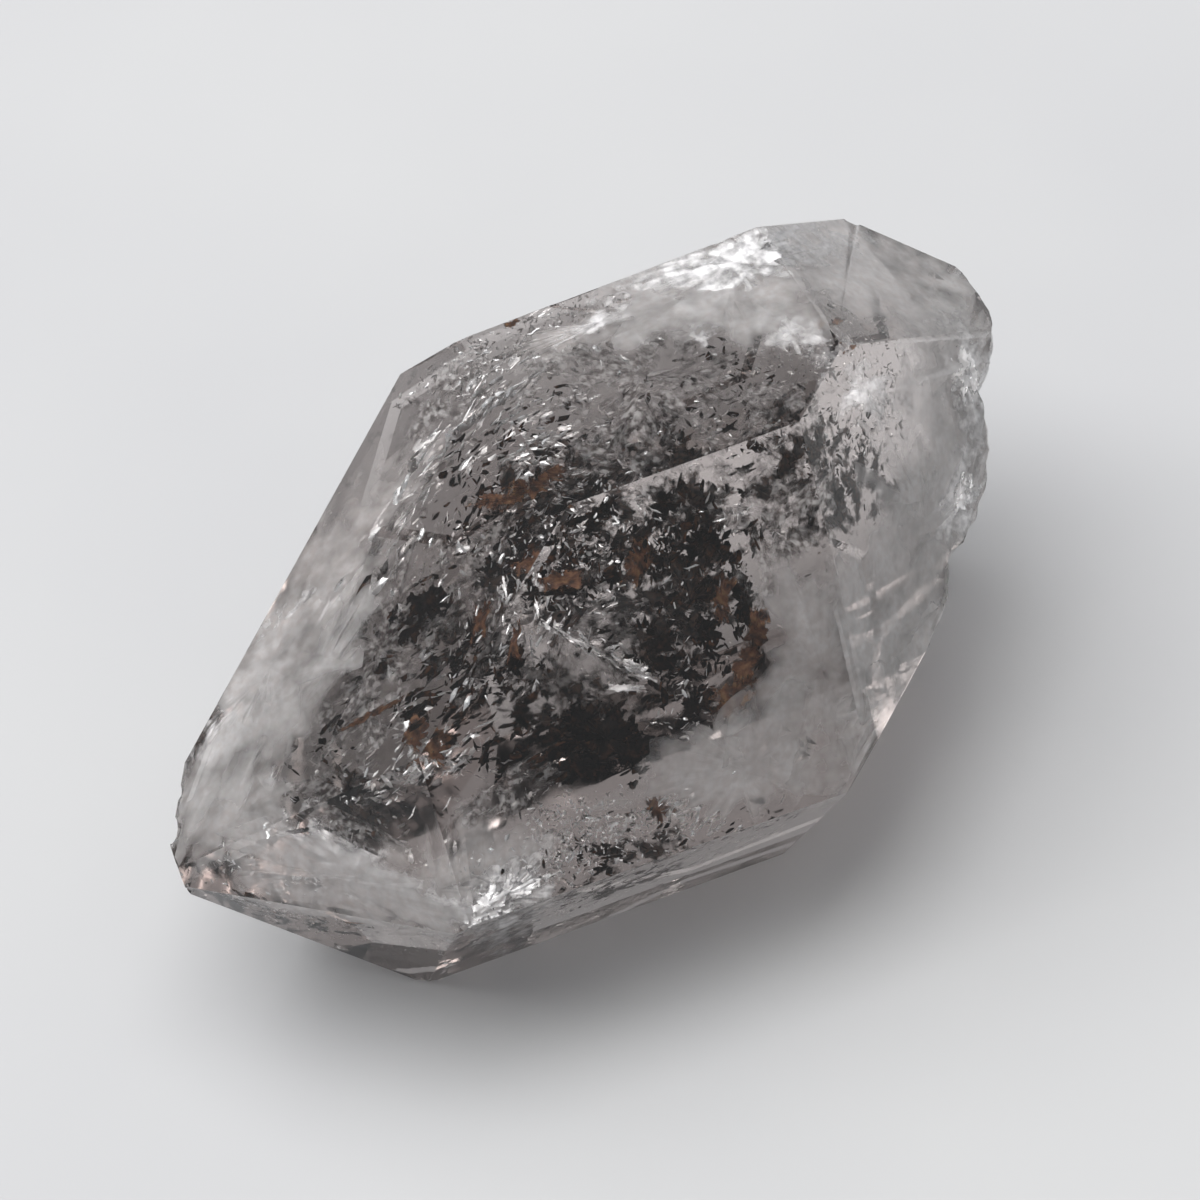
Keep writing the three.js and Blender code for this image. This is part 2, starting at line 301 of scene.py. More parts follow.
PALE_SWARMS = [
    dict(at=(720, 262), reach=(95, 34), turn=16, count=1440, **PALE_BITS),
    dict(at=(560, 320), reach=(90, 26), turn=24, count=480, **PALE_BITS),
    dict(at=(560, 840), reach=(120, 46), turn=14, count=1120, **PALE_BITS),
    dict(at=(870, 400), reach=(36, 40), turn=0, count=480, **PALE_BITS),
    dict(at=(300, 880), reach=(110, 26), turn=-18, count=480, **PALE_BITS),
    dict(at=(966, 372), reach=(24, 40), turn=0, count=520, **PALE_BITS),
    dict(at=(952, 505), reach=(16, 34), turn=0, count=320, **PALE_BITS),
    dict(at=(600, 560), reach=(200, 130), turn=10, count=700, **PALE_BITS),
]
DARK_SWARMS = [
    dict(at=(610, 735), reach=(90, 46), turn=-4, count=156, lean=24, stray=20, length=(0.3, 1.1)),
    dict(at=(560, 760), reach=(50, 26), turn=24, count=72, lean=26, stray=10, length=(0.4, 1.3)),
    dict(at=(680, 640), reach=(80, 60), turn=10, count=260, lean=60, stray=60, length=(0.2, 0.9)),
    dict(at=(690, 530), reach=(70, 60), turn=0, count=360, lean=80, stray=40, length=(0.2, 0.9)),
    dict(at=(570, 560), reach=(80, 60), turn=0, count=260, lean=30, stray=50, length=(0.2, 0.8)),
    dict(at=(500, 700), reach=(50, 80), turn=0, count=132, lean=60, stray=50, length=(0.2, 0.8)),
    dict(at=(420, 615), reach=(40, 34), turn=40, count=66, lean=40, stray=24, length=(0.3, 1.0)),
    dict(at=(390, 700), reach=(70, 46), turn=24, count=72, lean=28, stray=16, length=(0.4, 1.4)),
    dict(at=(364, 825), reach=(40, 22), turn=-28, count=66, lean=-20, stray=50, length=(0.15, 0.6)),
    dict(at=(800, 465), reach=(70, 50), turn=0, count=150, lean=60, stray=60, length=(0.15, 0.7)),
    dict(at=(560, 850), reach=(110, 40), turn=12, count=96, lean=40, stray=60, length=(0.15, 0.6)),
    dict(at=(340, 640), reach=(120, 14), turn=61, count=36, lean=61, stray=6, length=(0.6, 2.0)),
    dict(at=(500, 450), reach=(80, 50), turn=30, count=50, lean=40, stray=40, length=(0.2, 0.8)),
    dict(at=(745, 640), reach=(24, 60), turn=-12, count=78, lean=80, stray=24, length=(0.2, 0.8)),
    dict(at=(300, 915), reach=(90, 12), turn=-20, count=36, lean=-20, stray=20, length=(0.2, 0.8)),
    dict(at=(650, 880), reach=(100, 10), turn=17, count=36, lean=17, stray=20, length=(0.2, 0.8)),
]
# Single bright needles: the pixels of their two ends
STREAKS = [
    ((400, 486), (427, 450)),
    ((467, 411), (491, 387)),
    ((487, 430), (503, 413)),
    ((493, 434), (508, 417)),
    ((514, 411), (526, 399)),
    ((532, 379), (548, 367)),
    ((517, 367), (530, 355)),
    ((532, 441), (552, 434)),
    ((534, 447), (546, 443)),
    ((508, 458), (518, 453)),
    ((512, 466), (520, 459)),
    ((502, 604), (506, 573)),
    ((498, 612), (501, 594)),
    ((455, 545), (467, 553)),
    ((619, 353), (629, 365)),
    ((631, 330), (645, 340)),
    ((653, 339), (667, 349)),
    ((545, 625), (566, 640)),
    ((570, 635), (579, 648)),
    ((584, 649), (598, 657)),
    ((604, 657), (622, 665)),
    ((627, 669), (641, 674)),
    ((530, 634), (531, 650)),
    ((531, 650), (541, 665)),
    ((555, 602), (566, 611)),
    ((532, 694), (537, 678)),
    ((533, 815), (542, 823)),
    ((697, 830), (712, 815)),
    ((712, 815), (724, 809)),
    ((758, 764), (770, 760)),
    ((771, 767), (784, 762)),
    ((762, 775), (775, 778)),
    ((425, 700), (452, 690)),
    ((340, 735), (372, 722)),
    ((385, 560), (400, 535)),
]
STREAK_SHARES = (0.12, 0.3)  # where the needles lie, as shares of the way through the crystal
STREAK_WIDTH = 0.12 * MM

# Layers, which are plates and veils
LAYER_POINTS = 44  # round a layer
LAYER_RINGS = (0.3, 0.55, 0.8, 1.0)  # where its rings lie, as shares of its reach
NOISE_STARTS = (0, 1000)  # each layer has its own edge and waves, from its own part of a noise
MEAN_REACH = 0.44  # of a layer's length or width
RAGGEDNESS = 0.25  # how far its edge strays from that
LOBES = 1.3  # how fast its edge sways, in big lobes
TEETH = 5.0  # the same, in small teeth
EDGE_FADE = 1.7  # how steeply a layer thins towards its edge
EDGE_LOSS = 0.35  # how much lower its noise counts at its very edge
PLATE_THICKNESS = 0.03 * MM
EDGE_THICKNESS = 0.05  # of a plate, as a share of that
PLATE_WAVE = 0.12 * MM
PLATE_WAVE_LENGTH = 0.9 * MM
PLATE_DISORDER = 0.08  # how far bright layers stray from the plane that glints best
VEIL_SLOPE = 0.012  # millimetres deeper for each pixel
WAVE = 1.2  # millimetres, the height of the waves in dark and mottled layers
HAZE_WAVE = 0.1  # the same in haze, which is smooth
WAVE_LENGTH = 30  # pixels

# Loose bits
SWARM_SHARES = (0.06, 0.7)  # where they lie, as shares of the way through the crystal
SWARM_DISORDER = 0.5  # how far their flat sides stray from the one that glints best
SWARM_SPREAD = 0.45  # how far clumps lie from the middle, as a share of the swarm's reach
CLUMP_SIZE = 9  # bits to a clump, on average
CLUMP_SPREAD = 0.12  # as a share of the swarm's reach
TIPPING = 0.3  # how far bits lean towards the camera or away
SLIVER_SHARE = 0.4  # of a silver swarm's bits that are slivers, the rest being flakes
SLIVER_SLIMNESS = (6, 12)  # a sliver's length over its width
SLIVER_KNEES = (0.1, 0.3)  # how far from its middle it bends, as a share of its length
SLIVER_BEND = 0.5  # as a share of its width
SLIVER_HALF = (0.3, 0.6)  # half its width at a bend, as a share of its width
FLAKE_SLIMNESS = (1.4, 4.5)
FLAKE_CORNERS = 8
FLAKE_REACH = (0.45, 1.0)  # of a corner, as a share of half the flake's length or width
FLAKE_THICKNESS = 0.1  # how far each of its middles stands out, as a share of its width

# Colours of what is grown in, from the darkest part of each to the palest
PLATE_COLOURS = [(0.004, 0.003, 0.003, 1), (0.010, 0.006, 0.005, 1), (0.05, 0.024, 0.014, 1)]
FLAKE_COLOURS = [(0.004, 0.003, 0.003, 1), (0.012, 0.007, 0.005, 1), (0.09, 0.04, 0.02, 1)]
SMOKE_COLOURS = [(0.006, 0.005, 0.005, 1), (0.06, 0.03, 0.018, 1)]
RUST_COLOURS = [(0.04, 0.016, 0.008, 1), (0.18, 0.072, 0.032, 1), (0.36, 0.19, 0.085, 1)]
NEEDLE_COLOURS = [(0.75, 0.75, 0.76, 1), (0.88, 0.88, 0.88, 1), (0.95, 0.95, 0.95, 1)]
SPECK_COLOURS = [(0.78, 0.77, 0.78, 1), (0.88, 0.87, 0.87, 1), (0.95, 0.94, 0.94, 1)]
HAZE_COLOURS = [(0.86, 0.81, 0.79, 1), (0.98, 0.95, 0.94, 1)]
GLINT_COLOURS = [(0.85, 0.84, 0.85, 1), (0.97, 0.96, 0.96, 1)]
MOTTLE_COLOURS = [(0.10, 0.08, 0.075, 1), (0.42, 0.39, 0.38, 1), (0.90, 0.88, 0.87, 1)]

# Materials of what is grown in
ANTHRAXOLITE_IOR = 1.15  # against quartz instead of air
FLAKE_STEPS = (0.35, 0.52, 0.7)  # the noise values that its three colours stand for
FLAKE_GRAIN = 2.5
FLAKE_ROUGH_GRAIN = 4.0
FLAKE_ROUGH_SPREAD = 0.12
FLAKE_ROUGH_STEPS = (0.3, 0.7)
FLAKE_BUMP_GRAIN = 6.0
FLAKE_BUMP_STRENGTH = 0.5
FLAKE_BUMP_RELIEF = 0.03 * MM
VEIL_STEPS = (0.38, 0.62)  # the noise values that its first and last colour stand for
VEIL_GRAIN = 3.2


def camera_frame():
    """The camera's right, up and backward directions."""
    back = Vector((
        math.sin(CAMERA_TURN) * math.cos(CAMERA_HEIGHT),
        -math.cos(CAMERA_TURN) * math.cos(CAMERA_HEIGHT),
        math.sin(CAMERA_HEIGHT),
    ))
    level = Vector((0, 0, 1)).cross(back).normalized()
    right = Matrix.Rotation(CAMERA_ROLL, 3, back) @ level
    return right, back.cross(right), back


def add_object(name, data):
    made = bpy.data.objects.new(name, data)
    bpy.context.scene.collection.objects.link(made)
    return made


def add_camera():
    right, up, back = camera_frame()
    data = bpy.data.cameras.new("camera")
    data.sensor_width = SENSOR_WIDTH
    data.lens = SENSOR_WIDTH * CAMERA_DISTANCE / VIEW_WIDTH
    data.clip_start = NEAR_LIMIT
    data.clip_end = FAR_LIMIT
    camera = add_object("camera", data)
    turn = Matrix((right, up, back)).transposed().to_4x4()
    camera.matrix_world = Matrix.Translation(CAMERA_TARGET + back * CAMERA_DISTANCE) @ turn
    bpy.context.scene.camera = camera


# Materials

def new_material(name):
    material = bpy.data.materials.new(name)
    material.use_nodes = True
    return material, material.node_tree, material.node_tree.nodes["Principled BSDF"]


def add_noise(tree, grain, detail=4.0):
    """A noise in the object's own space. grain is the number of lumps in a millimetre."""
    place = tree.nodes.new("ShaderNodeTexCoord")
    texture = tree.nodes.new("ShaderNodeTexNoise")
    texture.inputs["Scale"].default_value = grain / MM
    texture.inputs["Detail"].default_value = detail
    tree.links.new(place.outputs["Object"], texture.inputs["Vector"])
    return texture.outputs["Fac"]


def add_range(tree, value, low, high, to_low, to_high):
    spread = tree.nodes.new("ShaderNodeMapRange")
    spread.inputs["From Min"].default_value = low
    spread.inputs["From Max"].default_value = high
    spread.inputs["To Min"].default_value = to_low
    spread.inputs["To Max"].default_value = to_high
    tree.links.new(value, spread.inputs["Value"])
    return spread.outputs["Result"]


def add_ramp(tree, value, stops):
    ramp = tree.nodes.new("ShaderNodeValToRGB")
    elements = ramp.color_ramp.elements
    while len(elements) < len(stops):
        elements.new(0.5)
    for element, (position, colour) in zip(elements, stops):
        element.position = position
        element.color = colour
    tree.links.new(value, ramp.inputs["Fac"])
    return ramp.outputs["Color"]


def add_bump(tree, shader, height, strength, distance):
    bump = tree.nodes.new("ShaderNodeBump")
    bump.inputs["Strength"].default_value = strength
    bump.inputs["Distance"].default_value = distance
    tree.links.new(height, bump.inputs["Height"])
    tree.links.new(bump.outputs["Normal"], shader.inputs["Normal"])


def quartz_material():
    material, tree, shader = new_material("clear_quartz")
    shader.inputs["Base Color"].default_value = (1, 1, 1, 1)
    shader.inputs["IOR"].default_value = QUARTZ_IOR
    shader.inputs["Transmission Weight"].default_value = 1.0
    roughness = add_range(tree, add_noise(tree, DULL_GRAIN, detail=1.0), **DULL_PATCHES)
    tree.links.new(roughness, shader.inputs["Roughness"])
    uneven = add_noise(tree, UNEVEN_GRAIN, detail=1.0)
    add_bump(tree, shader, uneven, UNEVEN_STRENGTH, UNEVEN_RELIEF)
    absorption = tree.nodes.new("ShaderNodeVolumeAbsorption")
    absorption.inputs["Color"].default_value = QUARTZ_COLOUR
    absorption.inputs["Density"].default_value = QUARTZ_DENSITY
    output = tree.nodes["Material Output"]
    tree.links.new(absorption.outputs["Volume"], output.inputs["Volume"])
    return material


def floor_material():
    material, tree, shader = new_material("pale_floor")
    colour = add_ramp(tree, add_noise(tree, FLOOR_GRAIN), list(zip(FLOOR_STEPS, FLOOR_COLOURS)))
    tree.links.new(colour, shader.inputs["Base Color"])
    shader.inputs["Roughness"].default_value = FLOOR_ROUGHNESS
    return material


# Crystal

def is_break(face):
    return face.calc_area() < SMALL_FACE and face.calc_center_median().x > BREAK_STARTS


def roughen_break(mesh):
    """Cuts the broken end's facets finer and gives them small lumps."""
    faces = [face for face in mesh.faces if is_break(face)]
    inner = [edge for edge in {e for face in faces for e in face.edges}
             if all(is_break(face) for face in edge.link_faces)]
    cut = bmesh.ops.subdivide_edges(mesh, edges=inner, cuts=1, use_grid_fill=True)
    moved = [item for item in cut["geom_inner"] if isinstance(item, bmesh.types.BMVert)]
    mesh.normal_update()
    for vert in moved:
        vert.co += vert.normal * noise.noise(vert.co / BREAK_GRAIN) * BREAK_RELIEF


def mark_edges(mesh):
    """Draws blunt edges smooth and leaves the others sharp."""
    for face in mesh.faces:
        face.smooth = True
    for edge in mesh.edges:
        on_break = all(is_break(face) for face in edge.link_faces)
        limit = BREAK_EDGE if on_break else FLAT_EDGE
        edge.smooth = edge.calc_face_angle(0) < limit


def add_crystal():
    """The quartz itself, as a copy of the CAD crystal with a finer break."""
    mesh = bmesh.new()
    mesh.from_mesh(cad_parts["crystal"].data)
    bmesh.ops.remove_doubles(mesh, verts=mesh.verts, dist=SAME_POINT)
    roughen_break(mesh)
    mark_edges(mesh)
    data = bpy.data.meshes.new("quartz_crystal")
    mesh.to_mesh(data)
    data.materials.append(quartz_material())
    tree = BVHTree.FromBMesh(mesh)
    mesh.free()
    crystal = add_object("quartz_crystal", data)
    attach(crystal, BODY)
    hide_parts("crystal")
    return tree


# What is grown into the quartz

def bend(ray, normal):
    """A ray of light's direction once it is inside quartz, through a face with this normal."""
    slant = -ray.dot(normal)
    straight = math.sqrt(1 - (1 - slant ** 2) / QUARTZ_IOR ** 2)
    return ray / QUARTZ_IOR + normal * (slant / QUARTZ_IOR - straight)


class Sight:
    """What the camera sees through one pixel: a line through the inside of the crystal."""

    def __init__(self, start, normal, way, length, glint):
        self.start = start
        self.normal = normal  # of the face that the line enters by
        self.way = way
        self.length = length
        self.glint = glint  # a flat bit that faces this way throws the overhead light at the camera

    def share(self, share):
        """The place at a share of the way through the crystal."""
        return self.start + self.way * (self.length * share)

    def depth(self, depth):
        """The place at a depth along the line, or the nearest to it that is clear of the line's ends."""
        return self.start + self.way * min(max(depth, SKIN), self.length * DEEPEST)

    def step_from(self, other):
        """How far this one enters above or below the plane of the face that another enters by."""
        return abs((self.start - other.start).dot(other.normal))

    def meet(self, centre, normal):
        """Where the line meets a plane, or the nearest place to that inside the crystal."""
        return self.depth((centre - self.start).dot(normal) / self.way.dot(normal))


class Inside:
    """Finds places inside the crystal."""

    def __init__(self, surface):
        self.surface = surface
        self.right, self.up, self.back = camera_frame()
        self.eye = CAMERA_TARGET + self.back * CAMERA_DISTANCE

    def look(self, x, y, same_face=None):
        """The sight through a pixel, or None outside the crystal.

        It is bent as by the face of the sight same_face, where that is given.
        """
        middle = PHOTO_SIZE / 2
        aim = self.right * ((x - middle) * PIXEL) - self.up * ((y - middle) * PIXEL)
        aim = (aim - self.back * CAMERA_DISTANCE).normalized()
        hit, normal, _, _ = self.surface.ray_cast(self.eye, aim)
        if hit is None:
            return None
        if same_face:
            normal = same_face.normal
        way = bend(aim, normal)
        far = self.surface.ray_cast(hit + way * SKIN, way)[0]
        if far is None:
            return None
        light = bend(-OVERHEAD, normal) if normal.dot(OVERHEAD) > 0 else -OVERHEAD
        return Sight(hit, normal, way, (far - hit).length, -(way + light).normalized())

    def spoke(self, middle, x, y, to_right, up, one_face):
        """The sights at a layer's rings along an offset in pixels, and the rings' shares of it.

        The offset is cut short where the layer would leave the crystal or, with one_face, its face.
        """
        furthest = FACE_DEPTH if one_face else math.inf
        good, sights = 0.0, [middle] * len(LAYER_RINGS)
        bad = 2.0
        while good < 1 and bad - good > REACH_STEP:
            share = (good + bad) / 2
            tried = [self.look(x + to_right * share * ring, y - up * share * ring, middle)
                     for ring in LAYER_RINGS]
            if all(sight and sight.step_from(middle) < furthest for sight in tried):
                good, sights = share, tried
            else:
                bad = share
        return sights, [good * ring for ring in LAYER_RINGS]

    def room(self, point):
        """How far a point is from the crystal's surface, less the skin that is kept clear."""
        return self.surface.find_nearest(point)[3] - SKIN

    def keep(self, point):
        """The point, or the nearest place to it with enough quartz over it."""
        place, normal, _, _ = self.surface.find_nearest(point)
        return point if (place - point).dot(normal) > LAYER_SKIN else place - normal * LAYER_SKIN

    def lean(self, degrees):
        """The direction that leans so far anticlockwise from the photograph's right."""
        turn = math.radians(degrees)
        return self.right * math.cos(turn) + self.up * math.sin(turn)


class Bits:
    """Gathers small shapes into one mesh. inward says how far in from a layer's edge a point is."""

    def __init__(self):
        self.points = []
        self.faces = []
        self.inward = []

    def add(self, points, faces, inward=()):
        start = len(self.points)
        self.points.extend(points)
        self.faces.extend([start + i for i in face] for face in faces)
        self.inward.extend(inward)

    def to_object(self, name, material):
        data = bpy.data.meshes.new(name)
        data.from_pydata(self.points, [], self.faces)
        data.materials.append(material)
        if self.inward:
            data.attributes.new("inward", "FLOAT", "POINT").data.foreach_set("value", self.inward)
        made = add_object(name, data)
        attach(made, BODY)


def add_sliver(bits, rng, centre, along, across, length, width):
    """A needle with a point at each end, four sides and a slight bend."""
    facing = along.cross(across)
    points = [centre - along * (length / 2)]
    for step in (-1, 1):
        knee = centre + along * (step * length * rng.uniform(*SLIVER_KNEES))
        knee += across * (width * rng.gauss(0, SLIVER_BEND))
        half = width * rng.uniform(*SLIVER_HALF)
        points += [knee + across * half, knee + facing * (half / 2)]
        points += [knee - across * half, knee - facing * (half / 2)]
    points.append(centre + along * (length / 2))
    # Points 0 and 9 are the tips, and 1 to 4 and 5 to 8 go round the two knees
    faces = []
    for i in range(4):
        j = (i + 1) % 4
        faces += [(0, 1 + j, 1 + i), (1 + i, 1 + j, 5 + j, 5 + i), (5 + i, 5 + j, 9)]
    bits.add(points, faces)


def add_flake(bits, rng, centre, along, across, length, width):
    """A thin flake with a ragged outline and its two middles standing a little out."""
    through = along.cross(across) * (width * FLAKE_THICKNESS)
    rim = []
    for i in range(FLAKE_CORNERS):
        angle = 2 * math.pi * i / FLAKE_CORNERS
        reach = rng.uniform(*FLAKE_REACH)
        rim.append(centre + along * (math.cos(angle) * reach * length / 2)
                   + across * (math.sin(angle) * reach * width / 2))
    faces = []
    for i in range(FLAKE_CORNERS):
        following = (i + 1) % FLAKE_CORNERS
        faces.append((i, following, FLAKE_CORNERS))
        faces.append((following, i, FLAKE_CORNERS + 1))
    bits.add(rim + [centre + through, centre - through], faces)


def add_swarm(bits, inside, rng, swarm, sliver_share=0.0):
    """Scatters flakes, and slivers for a share of them, in clumps round a place."""
    turn = math.radians(swarm["turn"])
    clumps = [(rng.gauss(0, SWARM_SPREAD), rng.gauss(0, SWARM_SPREAD))
              for _ in range(swarm["count"] // CLUMP_SIZE + 1)]
    for _ in range(swarm["count"]):
        clump = rng.choice(clumps)
        long = (clump[0] + rng.gauss(0, CLUMP_SPREAD)) * swarm["reach"][0]
        wide = (clump[1] + rng.gauss(0, CLUMP_SPREAD)) * swarm["reach"][1]
        x = swarm["at"][0] + long * math.cos(turn) + wide * math.sin(turn)
        y = swarm["at"][1] - long * math.sin(turn) + wide * math.cos(turn)
        sight = inside.look(x, y)
        if sight is None:
            continue
        point = sight.share(rng.uniform(*SWARM_SHARES))
        along = inside.lean(swarm["lean"] + rng.gauss(0, swarm["stray"]))
        along = (along + inside.back * rng.gauss(0, TIPPING)).normalized()
        facing = sight.glint + Vector([rng.gauss(0, SWARM_DISORDER) for _ in range(3)])
        across = facing.cross(along).normalized()
        length = min(rng.uniform(*swarm["length"]) * MM, 2 * inside.room(point))
        if length <= 0:
            continue
        if rng.random() < sliver_share:
            add_bit, slimness = add_sliver, SLIVER_SLIMNESS
        else:
            add_bit, slimness = add_flake, FLAKE_SLIMNESS
        add_bit(bits, rng, point, along, across, length, length / rng.uniform(*slimness))


def add_streak(bits, inside, rng, start, end):
    """A single bright needle between two pixels."""
    share = rng.uniform(*STREAK_SHARES)
    sight = inside.look(*start)
    near = sight.share(share)
    far = inside.look(*end).share(share)
    along = (far - near).normalized()
    across = sight.glint.cross(along).normalized()
    add_sliver(bits, rng, (near + far) / 2, along, across, (far - near).length, STREAK_WIDTH)


def disc_faces():
    """The faces of a disc whose points are a middle and one ring after another."""
    faces = []
    for i in range(LAYER_POINTS):
        j = (i + 1) % LAYER_POINTS
        faces.append((0, 1 + i, 1 + j))
        for ring in range(1, len(LAYER_RINGS)):
            outer = 1 + ring * LAYER_POINTS
            inner = outer - LAYER_POINTS
            faces.append((inner + i, outer + i, outer + j, inner + j))
    return faces


def ragged_outline(rng, length, width, turn):
    """The offsets in pixels, to the right and up, of points round a layer's edge."""
    start = rng.uniform(*NOISE_STARTS)
    cos, sin = math.cos(math.radians(turn)), math.sin(math.radians(turn))
    for i in range(LAYER_POINTS):
        angle = 2 * math.pi * i / LAYER_POINTS
        ray = Vector((math.cos(angle), math.sin(angle), start))
        reach = MEAN_REACH + RAGGEDNESS * (noise.noise(ray * LOBES) + noise.noise(ray * TEETH))
        long = math.cos(angle) * length * reach
        wide = math.sin(angle) * width * reach
        yield long * cos - wide * sin, long * sin + wide * cos


def layer_points(inside, x, y, outline, one_face, place):
    """The points of a layer and how far inward each is. place puts a point on its line of sight."""
    middle = inside.look(x, y)
    rings = [[] for _ in LAYER_RINGS]
    inward = [[] for _ in LAYER_RINGS]
    for to_right, up in outline:
        sights, shares = inside.spoke(middle, x, y, to_right, up, one_face)
        for ring, fades, sight, share in zip(rings, inward, sights, shares):
            ring.append(inside.keep(place(sight, to_right * share, up * share)))
            fades.append(min(EDGE_FADE * (1 - share), 1.0))
    return [place(middle, 0, 0)] + sum(rings, []), [1.0] + sum(inward, [])


def add_closed_layer(bits, points, inward, through):
    """A layer with two sides and a rim, thinnest at its edge."""
    half = [through * (PLATE_THICKNESS * (EDGE_THICKNESS + fade)) for fade in inward]
    upper = [point + step for point, step in zip(points, half)]
    lower = [point - step for point, step in zip(points, half)]
    faces = disc_faces()
    faces += [tuple(len(points) + i for i in reversed(face)) for face in disc_faces()]
    last = len(points) - LAYER_POINTS
    for i in range(LAYER_POINTS):
        j = (i + 1) % LAYER_POINTS
        faces.append((last + i, last + i + len(points), last + j + len(points), last + j))
    bits.add(upper + lower, faces, inward * 2)


def glinting(inside, rng, x, y, depth):
    """A way to place points in a plane that throws the overhead light back, and its normal."""
    middle = inside.look(x, y)
    centre = middle.depth(depth * MM)
    through = (middle.glint + Vector([rng.gauss(0, PLATE_DISORDER) for _ in range(3)])).normalized()

    def place(sight, _to_right, _up):
        point = sight.meet(centre, through)
        return point + sight.way * (PLATE_WAVE * noise.noise(point / PLATE_WAVE_LENGTH))

    return place, through


def wavy(rng, depth, wave=WAVE):
    """A way to place points at about a depth below the surface."""
    slope = [rng.gauss(0, VEIL_SLOPE) for _ in range(2)]
    start = rng.uniform(*NOISE_STARTS)

    def place(sight, to_right, up):
        deep = depth + slope[0] * to_right + slope[1] * up
        deep += wave * noise.noise(Vector((to_right, up, start)) / WAVE_LENGTH)
        return sight.depth(deep * MM)

    return place


def add_bright_plate(bits, inside, rng, x, y, length, width, turn, depth):
    place, through = glinting(inside, rng, x, y, depth)
    outline = ragged_outline(rng, length, width, turn)
    add_closed_layer(bits, *layer_points(inside, x, y, outline, True, place), through)


def add_dark_plate(bits, inside, rng, x, y, length, width, turn, depth):
    outline = ragged_outline(rng, length, width, turn)
    points, inward = layer_points(inside, x, y, outline, True, wavy(rng, depth))
    add_closed_layer(bits, points, inward, inside.back)


def add_glint_veil(bits, inside, rng, x, y, length, width, turn, depth):
    place, _ = glinting(inside, rng, x, y, depth)
    outline = ragged_outline(rng, length, width, turn)
    points, inward = layer_points(inside, x, y, outline, False, place)
    bits.add(points, disc_faces(), inward)


def add_veil(bits, inside, rng, x, y, length, width, turn, depth, wave=WAVE, one_face=True):
    outline = ragged_outline(rng, length, width, turn)
    points, inward = layer_points(inside, x, y, outline, one_face, wavy(rng, depth, wave))
    bits.add(points, disc_faces(), inward)


def add_cover(tree, shader, grain, detail, bare, full, most):
    """Makes a layer see-through where a noise is low, and the more so towards the layer's edge."""
    inward = tree.nodes.new("ShaderNodeAttribute")
    inward.attribute_name = "inward"
    fade = add_range(tree, inward.outputs["Fac"], 0.0, 1.0, -EDGE_LOSS, 0.0)
    total = tree.nodes.new("ShaderNodeMath")
    tree.links.new(add_noise(tree, grain, detail), total.inputs[0])
    tree.links.new(fade, total.inputs[1])
    cover = add_range(tree, total.outputs[0], bare, full, 0.0, most)
    tree.links.new(cover, shader.inputs["Alpha"])


def flake_material(name, colours, roughness, metallic=0.0):
    material, tree, shader = new_material(name)
    steps = list(zip(FLAKE_STEPS, colours))
    colour = add_ramp(tree, add_noise(tree, FLAKE_GRAIN, detail=3.0), steps)
    tree.links.new(colour, shader.inputs["Base Color"])
    lowest, highest = roughness - FLAKE_ROUGH_SPREAD, roughness + FLAKE_ROUGH_SPREAD
    dull = add_noise(tree, FLAKE_ROUGH_GRAIN, detail=1.0)
    dullness = add_range(tree, dull, *FLAKE_ROUGH_STEPS, lowest, highest)
    tree.links.new(dullness, shader.inputs["Roughness"])
    shader.inputs["Metallic"].default_value = metallic
    lumps = add_noise(tree, FLAKE_BUMP_GRAIN, detail=1.0)
    add_bump(tree, shader, lumps, FLAKE_BUMP_STRENGTH, FLAKE_BUMP_RELIEF)
    return material, tree, shader


def veil_material(name, colours, roughness, metallic=0.0):
    """A sheet of specks too fine to make one by one."""
    material, tree, shader = new_material(name)
    first, last = VEIL_STEPS
    step = (last - first) / (len(colours) - 1)
    steps = [(first + step * i, colour) for i, colour in enumerate(colours)]
    specks = add_noise(tree, VEIL_GRAIN, detail=2.0)
    tree.links.new(add_ramp(tree, specks, steps), shader.inputs["Base Color"])
    shader.inputs["Roughness"].default_value = roughness
    shader.inputs["Metallic"].default_value = metallic
    return material, tree, shader


def add_anthraxolite_plates(inside, rng):
    bits = Bits()
    for plate in BLACK_PLATES:
        add_dark_plate(bits, inside, rng, *plate)
    material, tree, shader = flake_material("anthraxolite_plate", PLATE_COLOURS, roughness=0.45)
    shader.inputs["IOR"].default_value = ANTHRAXOLITE_IOR
    add_cover(tree, shader, grain=2.6, detail=5.0, bare=0.25, full=0.31, most=1.0)
    bits.to_object("anthraxolite_plates", material)


def add_anthraxolite_flakes(inside, rng):
    bits = Bits()
    for swarm in DARK_SWARMS:
        add_swarm(bits, inside, rng, swarm)
    material, _, shader = flake_material("anthraxolite", FLAKE_COLOURS, roughness=0.45)
    shader.inputs["IOR"].default_value = ANTHRAXOLITE_IOR
    bits.to_object("anthraxolite_flakes", material)


def add_dark_veils(inside, rng):
    bits = Bits()
    for veil in DARK_VEILS:
        add_veil(bits, inside, rng, *veil)
    material, tree, shader = veil_material("dark_veil", SMOKE_COLOURS, roughness=0.5)
    add_cover(tree, shader, grain=1.5, detail=5.0, bare=0.40, full=0.52, most=0.95)
    bits.to_object("dark_veils", material)


def add_iron_stained_plates(inside, rng):
    bits = Bits()
    for plate in RUSTY_PLATES:
        add_dark_plate(bits, inside, rng, *plate)
    material, tree, shader = flake_material("iron_stain", RUST_COLOURS, roughness=0.6)
    add_cover(tree, shader, grain=2.6, detail=5.0, bare=0.25, full=0.38, most=0.9)
    bits.to_object("iron_stained_plates", material)


